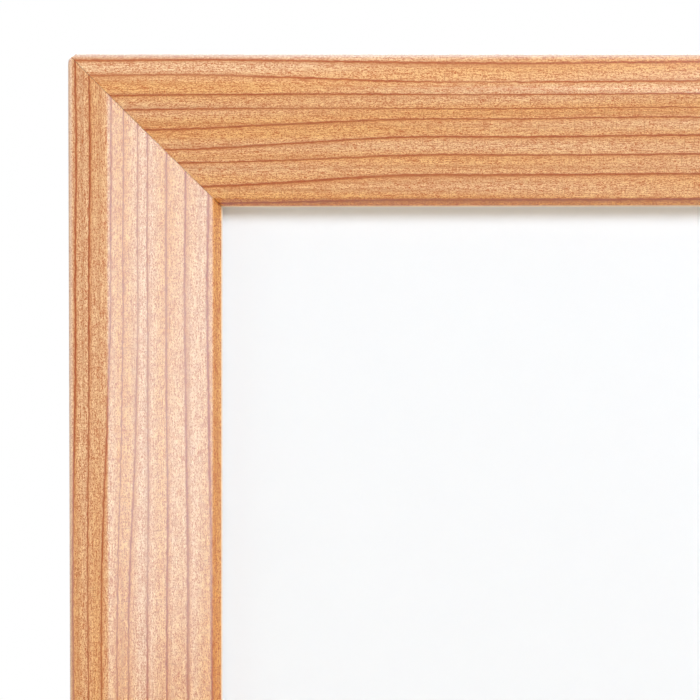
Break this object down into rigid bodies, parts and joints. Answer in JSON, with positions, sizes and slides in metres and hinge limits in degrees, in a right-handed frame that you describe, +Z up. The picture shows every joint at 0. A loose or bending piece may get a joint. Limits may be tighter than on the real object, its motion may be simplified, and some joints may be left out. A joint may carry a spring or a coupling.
{
  "type": "snap frame",
  "caption": "Portrait wall frame whose mitred wood-effect rails hinge open on sprung beads to change the sheet behind a clear cover.",
  "frame": {"origin": "middle of the wall plane, on the back faces of the base rails", "axes": "+X to the right seen from the front, +Y into the wall, +Z up; the front faces -Y"},
  "size_m": [0.24, 0.0124, 0.327],
  "materials": {
    "wood_foil": "satin",
    "mill_aluminium": "satin",
    "spring_steel": "satin",
    "zinc_steel": "satin",
    "black_steel": "satin",
    "white_styrene": "matte",
    "white_paper": "matte",
    "clear_sheet": "gloss"
  },
  "bodies": {
    "wall_frame": {"base_rail_top": "mill_aluminium", "base_rail_bottom": "mill_aluminium", "base_rail_left": "mill_aluminium", "base_rail_right": "mill_aluminium", "corner_key_top_right": "zinc_steel", "corner_key_bottom_right": "zinc_steel", "corner_key_bottom_left": "zinc_steel", "corner_key_top_left": "zinc_steel", "set_screw_top_right_1": "black_steel", "set_screw_top_right_2": "black_steel", "set_screw_bottom_right_1": "black_steel", "set_screw_bottom_right_2": "black_steel", "set_screw_bottom_left_1": "black_steel", "set_screw_bottom_left_2": "black_steel", "set_screw_top_left_1": "black_steel", "set_screw_top_left_2": "black_steel", "backing_panel": "white_styrene", "paper_insert": "white_paper", "clear_cover": "clear_sheet"},
    "top_snap": {"snap_rail_top": "wood_foil"},
    "bottom_snap": {"snap_rail_bottom": "wood_foil"},
    "left_snap": {"snap_rail_left": "wood_foil"},
    "right_snap": {"snap_rail_right": "wood_foil"},
    "top_springs": {"spring_top_1": "spring_steel", "spring_top_2": "spring_steel"},
    "bottom_springs": {"spring_bottom_1": "spring_steel", "spring_bottom_2": "spring_steel"},
    "left_springs": {"spring_left_1": "spring_steel", "spring_left_2": "spring_steel"},
    "right_springs": {"spring_right_1": "spring_steel", "spring_right_2": "spring_steel"}
  },
  "joints": [
    {"name": "top_snap_hinge", "type": "hinge", "parent": "wall_frame", "child": "top_snap", "pos_m": [0, -0.0027, 0.16115], "axis": [-1, 0, 0], "range_deg": [0, 80], "deforming": ["spring_top_1", "spring_top_2"]},
    {"name": "bottom_snap_hinge", "type": "hinge", "parent": "wall_frame", "child": "bottom_snap", "pos_m": [0, -0.0027, -0.16115], "axis": [1, 0, 0], "range_deg": [0, 80], "deforming": ["spring_bottom_1", "spring_bottom_2"]},
    {"name": "left_snap_hinge", "type": "hinge", "parent": "wall_frame", "child": "left_snap", "pos_m": [-0.11765, -0.0027, 0], "axis": [0, 0, -1], "range_deg": [0, 80], "deforming": ["spring_left_1", "spring_left_2"]},
    {"name": "right_snap_hinge", "type": "hinge", "parent": "wall_frame", "child": "right_snap", "pos_m": [0.11765, -0.0027, 0], "axis": [0, 0, 1], "range_deg": [0, 80], "deforming": ["spring_right_1", "spring_right_2"]},
    {"name": "top_spring_swing", "type": "hinge", "parent": "wall_frame", "child": "top_springs", "pos_m": [0, -0.00674, 0.1594], "axis": [-1, 0, 0], "range_deg": [0, 122.02]},
    {"name": "bottom_spring_swing", "type": "hinge", "parent": "wall_frame", "child": "bottom_springs", "pos_m": [0, -0.00674, -0.1594], "axis": [1, 0, 0], "range_deg": [0, 122.02]},
    {"name": "left_spring_swing", "type": "hinge", "parent": "wall_frame", "child": "left_springs", "pos_m": [-0.1159, -0.00674, 0], "axis": [0, 0, -1], "range_deg": [0, 122.02]},
    {"name": "right_spring_swing", "type": "hinge", "parent": "wall_frame", "child": "right_springs", "pos_m": [0.1159, -0.00674, 0], "axis": [0, 0, 1], "range_deg": [0, 122.02]}
  ],
  "couplings": [
    {"joint": "top_spring_swing", "follows": "top_snap_hinge", "ratio": 1.5252},
    {"joint": "bottom_spring_swing", "follows": "bottom_snap_hinge", "ratio": 1.5252},
    {"joint": "left_spring_swing", "follows": "left_snap_hinge", "ratio": 1.5252},
    {"joint": "right_spring_swing", "follows": "right_snap_hinge", "ratio": 1.5252}
  ]
}
